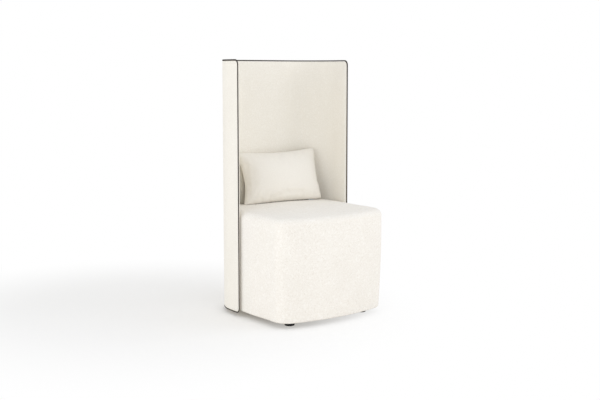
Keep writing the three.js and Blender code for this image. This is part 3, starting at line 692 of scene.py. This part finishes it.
def makePiping():
    inset = screen["pipingInset"]
    radius = screen["freeRadius"] - inset
    path, steps = [], screen["pipingSteps"]
    for (a, b), first in zip(square, (2, 3, 0, 1)):
        run, height = (-coreHalf, coreHalf)[a], (coreLow, coreHigh)[b]
        for k in range(steps + 1):
            angle = (first + k / steps) * quarterTurn
            path.append((run + radius * math.cos(angle), inset, height + radius * math.sin(angle)))
    piece = runTree(polyline("screenPiping", path, True), pipingTree(), {
        "Radius": screen["piping"] / 2 * mm, "Step": screen["pipingStep"] * mm,
        "Sides": screen["pipingSides"], "Finish": finishes["pipingTwill"],
    })
    smooth(piece.data)

    # along the top edge the piping is fuller and stands further out of its notch
    places = placesOf(piece.data)
    core, out, reach = fromCore(places[:, [0, 2]])
    share = out[:, 1].clip(0, 1) ** 2
    fuller = 1 + screen["pipingSwell"] * share
    reach = radius + (reach - radius) * fuller + screen["pipingRise"] * share
    places[:, 1] = inset + (places[:, 1] - inset) * fuller
    places[:, [0, 2]] = core + out * reach[:, None]
    piece.data.vertices.foreach_set("co", (places * mm).ravel())
    piece.data.update()
    return outwards(bendPiece(piece))


for side in ("outer", "inner"):
    cloth = panelCloth(side)
    declare(cloth, "chair", f"screen_{side}_cover")
declare(makePiping(), "chair", "screen_piping")
print("screen covered and piped")


# Seat: one fitted cover over the foam, crowned, with its hem turned in under the base board

seat = {
    "foot": 28,
    "footHalfWidth": 286,
    "footFront": 336,
    "frontBow": 45,
    "cornerRadius": 78,
    "sideLean": 5,
    "frontLean": 11,
    "leanTop": 383,
    "rim": 476,
    "topRound": 28,
    "topRings": 12,
    "crown": 12,
    "crownHalfWidth": 263,
    "crownHalfDepth": 260,
    "crownRings": 30,
    "crownPole": 0.012,  # the last ring's share of the rim
    "middleY": -9.8,
    "rearRadius": 151,
    "steps": (24, 16, 24, 20, 15),  # in half an outline: bow, corner, side, bend and back
    "hemRound": 6,
    "hemSteps": 5,
    "hemSag": 3,  # the hem's roll hangs this far below the base board's cloth
    "hem": [(35, 0), (24, 0), (14, 0.3), (10.5, 0.75), (8, 0.95)],  # insets, and shares of the sag
    "cloth": 0.9,
    "rowStep": 9,
    "sidesFrom": -150,  # y, with the front's softness before it and the sides' behind
    "frontFade": 60,
    "sideFade": 120,
    "rimFade": 40,
    "sideFullness": 4.4,  # how far the cover swells towards the wings
    "sideWaves": [(120, 0.8, 3.3, 0)],
    "frontFullness": 0.8,
    "frontWaves": [(160, 0.8, 6.4, 0), (70, 0.3, 8.8, 0)],
    "topFullness": 0.9,
    "topWaves": [(150, 1.2, 2.3, 0), (62, 0.5, 4.1, 0)],
}


def leanAt(height):
    return math.sin(clamp((height - seat["foot"]) / (seat["leanTop"] - seat["foot"])) * quarterTurn)


def seatOutline(inset, lean):
    half = seat["footHalfWidth"] + seat["sideLean"] * lean
    frontY = screen["wingY"] - seat["footFront"] - seat["frontLean"] * lean
    bow, corner = seat["frontBow"], seat["cornerRadius"]
    bowRadius = (half * half + bow * bow) / (2 * bow)
    bowY = frontY + bowRadius
    cornerX = half - corner
    cornerY = bowY - math.sqrt((bowRadius - corner) ** 2 - cornerX ** 2)
    meet = math.atan2(cornerX, bowY - cornerY)
    bowSteps, cornerSteps, sideSteps, bendSteps, backSteps = seat["steps"]

    def arc(x, y, radius, angles):
        return [(x + (radius - inset) * math.sin(a), y - (radius - inset) * math.cos(a)) for a in angles]

    right = arc(0, bowY, bowRadius, [meet * k / bowSteps for k in range(bowSteps)])
    turned = [meet + (quarterTurn - meet) * k / cornerSteps for k in range(cornerSteps + 1)]
    right += arc(cornerX, cornerY, corner, turned)
    right += [(half - inset, cornerY + (bendY - cornerY) * k / sideSteps) for k in range(1, sideSteps)]
    across, deep = half - inset - bendX, seat["rearRadius"] - inset
    right += [(bendX + across * cos, bendY + deep * sin) for cos, sin in quarterArc(bendSteps)]
    right += [(bendX * (1 - k / backSteps), bendY + deep) for k in range(1, backSteps + 1)]
    return np.array(right + [(-x, y) for x, y in right[-2:0:-1]])


def crownHeight(x, y):
    across = max(0.0, 1 - (x / seat["crownHalfWidth"]) ** 2)
    along = max(0.0, 1 - ((y - seat["middleY"]) / seat["crownHalfDepth"]) ** 2)
    return seat["rim"] + seat["crown"] * across * along


def topSoftness(x, y):
    return max(0.0, seat["topFullness"] + waves(x, y, 0, seat["topWaves"]))


def frontSoftness(x, y, height):
    reach = seat["frontFade"]
    fade = clamp((height - seat["foot"]) / reach) * clamp((seat["sidesFrom"] - y) / reach)
    return -max(0.0, seat["frontFullness"] + waves(x, 0, height, seat["frontWaves"])) * fade


def sideSoftness(x, y, height):
    fade = clamp((y - seat["sidesFrom"]) / seat["sideFade"]) * clamp((seat["rim"] - height) / seat["rimFade"])
    fullness = seat["sideFullness"] + seat["sideLean"] * (1 - leanAt(height))
    return math.copysign((fullness + waves(0, y, height, seat["sideWaves"])) * fade, x)


def seatRings():
    rings = []

    def ring(inset, height, lean):
        rings.append([(x, y, height) for x, y in seatOutline(inset, lean)])

    foot, rounding = seat["foot"] - seat["hemSag"], seat["hemRound"]
    for inset, sag in seat["hem"]:
        ring(inset, seat["foot"] - seat["hemSag"] * sag, 0)
    for cos, sin in quarterArc(seat["hemSteps"]):
        height = foot + rounding - rounding * cos
        ring(rounding - rounding * sin, height, leanAt(height))
    low, high = foot + rounding, seat["rim"] - seat["topRound"]
    rows = round((high - low) / seat["rowStep"])
    for k in range(1, rows):
        height = low + (high - low) * k / rows
        ring(0, height, leanAt(height))
    sideRings, radius = len(rings), seat["topRound"]
    for cos, sin in quarterArc(seat["topRings"] - 1):
        drop = radius * (1 - sin)
        outline = seatOutline(radius * (1 - cos), 1)
        rings.append([(x, y, crownHeight(x, y) - drop) for x, y in outline])
    rim = np.array(rings[-1])
    shares = [1 - k / seat["crownRings"] for k in range(1, seat["crownRings"])]
    for share in [*shares, seat["crownPole"]]:
        places = zip(rim[:, 0] * share, seat["middleY"] + (rim[:, 1] - seat["middleY"]) * share)
        rings.append([(x, y, crownHeight(x, y)) for x, y in places])
    return np.array(rings), sideRings


def makeSeatCloth():
    rings, sideRings = seatRings()
    levels, count = rings.shape[:2]
    topFrom = sideRings + seat["topRings"] // 2
    soft = rings.copy()
    for r in range(len(seat["hem"]) - 1, levels):
        onTop = clamp((r - sideRings) / (topFrom - sideRings))
        for place in soft[r]:
            x, y, z = place
            if onTop < 1 and y < seat["sidesFrom"]:
                place[1] += frontSoftness(x, y, z)
            elif onTop < 1 and y < bendY:
                place[0] += sideSoftness(x, y, z)
            if onTop > 0:
                place[2] += topSoftness(x, y) * onTop
    middleY = seat["middleY"]
    points = [tuple(place) for place in soft.reshape(-1, 3)]
    points.append((0, middleY, crownHeight(0, middleY) + topSoftness(0, middleY)))
    faces = ringFaces(levels, count) + fan((levels - 1) * count, count, len(points) - 1)
    widest = rings[sideRings]
    steps = np.linalg.norm(np.roll(widest, -1, 0) - widest, axis=1)
    run = np.concatenate([[0], np.cumsum(steps)])
    upTo = np.concatenate([[0], np.cumsum(np.linalg.norm(np.diff(rings[:, 0], axis=0), axis=1))])
    threads = []
    for number, face in enumerate(faces):
        r, k = divmod(number, count)
        if r >= topFrom:
            threads += [points[corner][:2] for corner in face]
        else:
            threads += [(run[k + a], upTo[r + b]) for a, b in square]
    return thicken(makePiece("seatCloth", points, faces, threads, "seatWool"), seat["cloth"])


seatCloth = makeSeatCloth()
declare(seatCloth, "chair", "seat_cover")
print("seat covered")


# Lumbar cushion: two panels sewn together, filled by a cloth simulation and set against the back

cushion = {
    "width": 422,
    "height": 257,
    "thickness": 112,
    "drawIn": 14,
    "footDrawIn": 5,  # the lower seam lies nearly straight on the seat
    "leftDrawIn": 25,
    "leftSkew": 0.26,
    "cornerTuck": 5,
    "cornerPower": 8,
    "plump": 0.33,
    "lean": 16.7,
    "yaw": -6.6,
    "roll": -0.8,
    "columns": 92,
    "rows": 60,
    "startShare": 0.9,  # of the thickness that the simulation starts from
    "swellSteps": 24,
    "swellShare": 0.45,  # of how far the simulation moves each point
    "cap": 12,
    "clearance": 0.5,
    "fillingShare": (0.965, 0.93, 0.955),  # of the cover, each way
    "fillingClearance": 2.0,
    "foldFade": 4,  # towards its full depth, from foldEnd at either end
    "foldEnd": 0.15,
    "foldRidge": 0.35,  # of the groove's depth
}
clothSettings = {
    "quality": 8, "mass": 0.15, "tension_stiffness": 12, "compression_stiffness": 12, "shear_stiffness": 4,
    "bending_stiffness": 0.12, "use_pressure": True, "uniform_pressure_force": 4.0, "shrink_min": -0.035,
    "vertex_group_mass": "seam",
}


def pillow(columns, rows, fullness):
    points, index = [], {}
    faces, threads = [], []

    def vertex(column, row, side):
        onSeam = column in (0, columns) or row in (0, rows)
        key = (column, row, 0 if onSeam else side)
        if key not in index:
            u, v = [math.sin((share - 0.5) * math.pi) for share in (column / columns, row / rows)]
            tuckX, tuckZ = [cushion["cornerTuck"] * far ** cushion["cornerPower"] for far in (v, u)]
            drawIn = cushion["leftDrawIn"] * (1 - cushion["leftSkew"] * v) if u < 0 else cushion["drawIn"]
            drawUp = cushion["footDrawIn"] if v < 0 else cushion["drawIn"]
            x = u * (cushion["width"] / 2 - drawIn * (1 - v * v) - tuckX)
            z = v * (cushion["height"] / 2 - drawUp * (1 - u * u) - tuckZ)
            bulge = max(0.0, (1 - u * u) * (1 - v * v)) ** cushion["plump"]
            index[key] = len(points)
            points.append((x, side * bulge * cushion["thickness"] / 2 * fullness, z))
        return index[key]

    for side in (-1, 1):
        for column in range(columns):
            for row in range(rows):
                face = [vertex(column + a, row + b, side) for a, b in square]
                if side > 0:
                    face.reverse()
                faces.append(face)
                threads += [(points[k][0], points[k][2]) for k in face]
    seam = sorted({index[key] for key in index if key[2] == 0})
    return np.array(points), faces, threads, seam


tilt = (-math.radians(cushion["lean"]), math.radians(cushion["roll"]), math.radians(cushion["yaw"]))
cushionTurn = np.array(Euler(tilt, "XYZ").to_matrix())
cushionLow = np.array(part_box("cushion_cover")[0]) / mm
cushionPlace = cushionLow - (pillow(16, 10, 1)[0] @ cushionTurn.T).min(0)


def setDown(shape, clear):
    # on the seat's crown and in front of the screen's inner face
    world = shape @ cushionTurn.T + cushionPlace
    radius = screen["backRadius"] - innerDepth
    for place in world:
        x, y, z = place
        past = max(0.0, abs(x) - bendX)
        innerFace = bendY + math.sqrt(max(0.0, radius * radius - past * past))
        place[1] = min(y, innerFace - clear)
        place[2] = max(z, crownHeight(x, y) + topSoftness(x, y) + clear)
    return world


def fillWithCloth(points, faces, seam):
    piece = makePiece("fillingTrial", points, faces, None, "cushionCotton")
    piece.vertex_groups.new(name="seam").add(seam, 1.0, "REPLACE")
    cloth = piece.modifiers.new("cloth", "CLOTH")
    for name, value in clothSettings.items():
        setattr(cloth.settings, name, value)
    cloth.settings.effector_weights.gravity = 0
    cloth.collision_settings.use_collision = False
    cloth.point_cache.frame_start, cloth.point_cache.frame_end = 1, cushion["swellSteps"]
    for step in range(cushion["swellSteps"]):
        scene.frame_set(step + 1)
    graph = bpy.context.evaluated_depsgraph_get()
    swollen = placesOf(piece.evaluated_get(graph).data)
    bpy.data.objects.remove(piece)
    scene.frame_set(1)
    return swollen


folds = [
    # from (x, z), to (x, z), depth and half width: creases drawn on the front panel
    ((-186, -88), (-178, 84), 2.6, 7),
    ((-150, 112), (-118, 78), 1.6, 6),
    ((-112, 113), (-92, 88), 1.4, 6),
    ((-74, 114), (-62, 96), 1.1, 5),
    ((-24, -88), (-77, -116), 2.4, 9),
    ((114, -92), (-24, -88), 2.0, 10),
    ((176, 96), (150, 72), 1.4, 7),
    ((-168, -104), (-142, -76), 1.6, 6),
    ((186, -98), (160, -70), 1.4, 7),
]


def creaseDepth(x, z):
    # a groove along each line, with a lower ridge on either side
    total = 0.0
    for (ax, az), (bx, bz), depth, width in folds:
        dx, dz = bx - ax, bz - az
        t = ((x - ax) * dx + (z - az) * dz) / (dx * dx + dz * dz)
        ends = clamp(min(t, 1 - t) * cushion["foldFade"] + cushion["foldEnd"])
        t = clamp(t)
        away = math.hypot(x - ax - t * dx, z - az - t * dz)
        groove = math.exp(-(away / width) ** 2)
        ridge = math.exp(-((away - 2 * width) / width) ** 2)
        total += depth * ends * (groove - cushion["foldRidge"] * ridge)
    return total


def makeCushionCloth():
    columns, rows = cushion["columns"], cushion["rows"]
    full, faces, threads, seam = pillow(columns, rows, 1)
    shape = full.copy()
    move = fillWithCloth(pillow(columns, rows, cushion["startShare"])[0], faces, seam) - full
    move *= cushion["swellShare"]
    length = np.linalg.norm(move, axis=1)
    shape += move * (np.minimum(length, cushion["cap"]) / np.maximum(length, 1e-9))[:, None]
    for place, (x, y, z) in zip(shape, full):
        if y < -1:
            place[1] += creaseDepth(x, z)
    cloth = makePiece("cushionCloth", setDown(shape, cushion["clearance"]), faces, threads, "cushionCotton")
    inside = setDown(shape * cushion["fillingShare"], cushion["fillingClearance"])
    filling = makePiece("cushionFilling", inside, faces, None, "fibreFill")
    finer = cloth.modifiers.new("finer", "SUBSURF")
    finer.levels = finer.render_levels = 1
    cloth = settle(cloth)
    return cloth, filling


cushionCloth, cushionFilling = makeCushionCloth()
declare(cushionCloth, "lumbar_cushion", "cushion_cover")
declare(cushionFilling, "lumbar_cushion", "cushion_filling")
print("cushion filled")


# Zip in the cushion's lower seam: one node tree sets the teeth along the seam, beside it the two tapes

zipper = {
    "length": 300,
    "steps": 75,
    "proud": 0.6,
    "clearance": 0.7,
    "pitch": 2.0,
    "tooth": (1.1, 3.4, 1.0),  # along, across and up
    "tapeTop": 4.2,
    "tapeHalf": 0.2,  # from the seam to a tape's lower and upper edge
    "tapeReach": 2.2,
    "tapeLift": 0.9,
    "tapeFaces": (0.3, 0.8),  # inner and outer face, from the seam's cloth
    # size, centre and bevel
    "slider": ((9, 6.5, 2.2), (0, 0, -0.4), 0.7),
    "pull": ((24, 0.8, 5), (13, 3.85, 0.4), 0.35),
    "sliderPoint": -3,  # of the seam's points
}


def boxMesh(name, size, centre=(0, 0, 0), bevel=0.0):
    shape = bmesh.new()
    bmesh.ops.create_cube(shape, size=1)
    for corner in shape.verts:
        corner.co = Vector([(c * s + m) * mm for c, s, m in zip(corner.co, size, centre)])
    if bevel:
        edges, offset = shape.edges[:], bevel * mm
        bmesh.ops.bevel(shape, geom=edges, offset=offset, segments=2, profile=0.7, affect="EDGES")
    mesh = bpy.data.meshes.new(name)
    shape.to_mesh(mesh)
    shape.free()
    return bpy.data.objects.new(name, mesh)


def joinSteel(first, others):
    shape = bmesh.new()
    for part in (first, *others):
        shape.from_mesh(part.data)
    shape.to_mesh(first.data)
    shape.free()
    first.data.materials.append(finishes["zincSteel"])
    for part in others:
        bpy.data.objects.remove(part)


def alongPathTree():
    wires = newTree("setAlongPath", {"Tooth": "Object", "Step": "Float", "Finish": "Material"})
    path = evenPath(wires)
    tangent = path.add("GeometryNodeInputTangent")
    turned = path.add("FunctionNodeAlignRotationToVector", {"axis": "X"}, {"Vector": tangent})
    shape = path.add("GeometryNodeObjectInfo", None, {"Object": wires["Tooth"]}, "Geometry")
    inputs = {"Points": path, "Instance": shape, "Rotation": turned}
    placed = path.add("GeometryNodeInstanceOnPoints", None, inputs)
    real = path.add("GeometryNodeRealizeInstances", None, {"Geometry": placed})
    return closeTree(real, wires["Finish"])


alongPath = alongPathTree()


def setAlong(name, path, cyclic, shape, step, finish):
    values = {"Tooth": shape, "Step": step * mm, "Finish": finishes[finish]}
    piece = runTree(polyline(name, path, cyclic), alongPath, values)
    bpy.data.objects.remove(shape)
    return piece


def zipSeam():
    half = zipper["length"] / 2
    x = np.linspace(-half, half, zipper["steps"] + 1)
    drawUp = cushion["footDrawIn"] * (1 - (2 * x / cushion["width"]) ** 2)
    z = drawUp - cushion["height"] / 2 - zipper["proud"]
    return setDown(np.stack([x, 0 * x, z], 1), zipper["clearance"])


def makeTapes(seam):
    side, up = cushionTurn[:, 1], cushionTurn[:, 2]
    inner, outer = zipper["tapeFaces"]
    points, faces = [], []
    for way in (-1, 1):
        first = len(points)
        for place in seam:
            for out, atTop in ((inner, False), (inner, True), (outer, True), (outer, False)):
                across = zipper["tapeReach"] + out if atTop else zipper["tapeHalf"]
                lift = zipper["tapeTop"] if atTop else zipper["tapeLift"] - out
                points.append(place + side * way * across + up * lift)
        walls = ringFaces(len(seam), 4) + [(0, 1, 2, 3), tuple(range(4 * len(seam) - 4, 4 * len(seam)))]
        faces += [[first + corner for corner in face] for face in walls]
    threads = np.array(points)[np.array(faces)].reshape(-1, 3)[:, [0, 2]]
    return outwards(makePiece("cushionZipTapes", points, faces, threads, "zipTape"))


def makeSlider(place):
    slider = boxMesh("cushionZipSlider", *zipper["slider"])
    joinSteel(slider, [boxMesh("pull", *zipper["pull"])])
    move = np.eye(4)
    move[:3, :3] = cushionTurn
    move[:3, 3] = place * mm
    slider.data.transform(Matrix(move.tolist()))
    scene.collection.objects.link(slider)
    return slider


seam = zipSeam()
tooth = boxMesh("tooth", zipper["tooth"])
zipTeeth = setAlong("cushionZipTeeth", seam, False, tooth, zipper["pitch"], "blackNylon")
zipTapes = makeTapes(seam)
zipSlider = makeSlider(seam[zipper["sliderPoint"]])
for piece, slot in ((zipTeeth, "zip"), (zipTapes, "zip"), (zipSlider, "steel")):
    declare(piece, "lumbar_cushion", "cushion_zip")
print("zip set")


# Underside: a dust cloth stapled to the base board, and the four glides

underside = {
    "clothInset": 15,
    "clothLow": 26.9,
    "clothThickness": 0.8,
    "sag": 2.2,
    "sagShare": 0.6,  # of that sag, before the waves
    "sagWaves": [(90, 0.8, 9.1, 0)],
    "tautEdge": 6,  # inside the outline, from which the sag grows over tautReach
    "tautReach": 90,
    "studHole": 4.6,
    "holeSides": 20,
    "holeClear": 8,  # without grid points
    "holeReach": 60,
    "holeTaut": 0.35,  # of that reach
    "gridX": (-280, 281, 14),  # from, to and step
    "gridY": (-300, 290, 14),
    "stapleInset": 22,
    "stapleStep": 41,
    "stapleCrown": 10,
    "stapleWire": 0.9,
    "stapleFlat": 0.7,  # the wire's depth as a share of its width
    "stapleLeg": 5,
    "stapleBevels": (0.15, 0.1),
}
glide = {
    "names": ["front_left", "front_right", "rear_left", "rear_right"],
    "segments": 72,
    # radius and height of the pad's outline, from the middle of its sole to its bore
    "profile": [(0, 0.9), (13, 0.9), (14, 0.2), (20, 0), (21, 0.25), (21.7, 0.9), (22, 2), (22, 7),
                (21.7, 7.8), (21, 8.3), (14.2, 11.4), (13.2, 12.1), (12.8, 13), (12.8, 25.2), (12.4, 26.2),
                (11.6, 26.6), (4.6, 26.6), (4.4, 11.2), (0, 11.1)],
    "grips": 18,
    "gripDepth": 0.7,
    "gripHeights": (12.5, 26),
    "gripOutside": 10,
    "crease": 42,  # degrees, as for cloth
}


def glideCentre(name):
    return np.mean(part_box("glide_stud_" + name), axis=0)[:2] / mm


def makeDustCloth():
    outline = seatOutline(underside["clothInset"], 0)
    centres = [glideCentre(name) for name in glide["names"]]
    middle = np.array([0, seat["middleY"]])
    inner = seatOutline(underside["clothInset"] + underside["tautEdge"], 0) - middle
    bearings, reaches = np.arctan2(inner[:, 1], inner[:, 0]), np.linalg.norm(inner, axis=1)

    def fromEdge(x, y):
        y -= middle[1]
        return np.interp(math.atan2(y, x), bearings, reaches, period=fullTurn) - math.hypot(x, y)

    def fromHoles(place):
        return min(math.dist(place, centre) for centre in centres)

    hole, sides = underside["studHole"], underside["holeSides"]
    turns = [k / sides * fullTurn for k in range(sides)]
    holes = [[(x + hole * math.cos(a), y + hole * math.sin(a)) for a in turns] for x, y in centres]
    points, edges = [], []
    for ring in [outline, *holes]:
        edges += [(len(points) + k, len(points) + (k + 1) % len(ring)) for k in range(len(ring))]
        points += [Vector(place) for place in ring]
    for x in np.arange(*underside["gridX"]):
        for y in np.arange(*underside["gridY"]):
            if fromEdge(x, y) > 0 and fromHoles((x, y)) > underside["holeClear"]:
                points.append(Vector((x, y)))
    places, _, faces, _, _, _ = delaunay_2d_cdt(points, edges, [], 0, 0.001)
    flat = np.array([tuple(place) for place in places])
    kept = [face[::-1] for face in faces if fromHoles(flat[list(face)].mean(0)) > hole * 0.97]
    sagged = []
    for x, y in flat:
        loose = clamp(fromEdge(x, y) / underside["tautReach"])
        loose *= clamp(fromHoles((x, y)) / underside["holeReach"] - underside["holeTaut"])
        uneven = underside["sagShare"] + waves(x, y, 0, underside["sagWaves"])
        drop = underside["sag"] * max(0.0, loose * uneven)
        sagged.append((x, y, underside["clothLow"] - drop))
    threads = flat[np.array(kept)].reshape(-1, 2)
    cloth = makePiece("dustCloth", sagged, kept, threads, "dustCloth")
    x, y = outline.T
    area = abs(np.dot(x, np.roll(y, -1)) - np.dot(y, np.roll(x, -1))) / 2
    return thicken(cloth, underside["clothThickness"]), area * mm * mm


def makeStaples():
    wire, crown, leg = underside["stapleWire"], underside["stapleCrown"], underside["stapleLeg"]
    flat, half = wire * underside["stapleFlat"], (crown - wire) / 2
    crownBevel, legBevel = underside["stapleBevels"]
    outline = seatOutline(underside["stapleInset"], 0)
    path = [(x, y, underside["clothLow"] - wire / 2) for x, y in outline]
    staple = boxMesh("stapleShape", (crown, wire, flat), (0, 0, 0), crownBevel)
    joinSteel(staple, [boxMesh("leg", (flat, wire, leg), (x, 0, leg / 2), legBevel) for x in (-half, half)])
    return setAlong("dustClothStaples", path, True, staple, underside["stapleStep"], "zincSteel")


def makeGlide(name):
    centre, count = glideCentre(name), glide["segments"]
    sole, *outline, bore = glide["profile"]
    gripLow, gripHigh = glide["gripHeights"]
    points, faces = [], ringFaces(len(outline), count)
    for radius, height in outline:
        fluted = gripLow < height < gripHigh and radius > glide["gripOutside"]
        for k in range(count):
            angle = k / count * fullTurn
            dip = glide["gripDepth"] * max(0.0, math.cos(angle * glide["grips"])) if fluted else 0
            reach = radius - dip
            points.append((centre[0] + reach * math.cos(angle), centre[1] + reach * math.sin(angle), height))
    for (_, height), ring in ((sole, 0), (bore, len(outline) - 1)):
        faces += fan(ring * count, count, len(points))
        points.append((*centre, height))
    piece = makePiece("glide" + name.title().replace("_", ""), points, faces, None, "blackNylon")
    return sharpen(outwards(piece), glide["crease"])


dustCloth, dustArea = makeDustCloth()
staples = makeStaples()
declare(dustCloth, "chair", "seat_dust_cloth")
declare(staples, "chair")
for name in glide["names"]:
    declare(makeGlide(name), "glide_" + name, "glide_pad_" + name)
print("underside closed", round(dustArea, 4), "square metres of dust cloth")
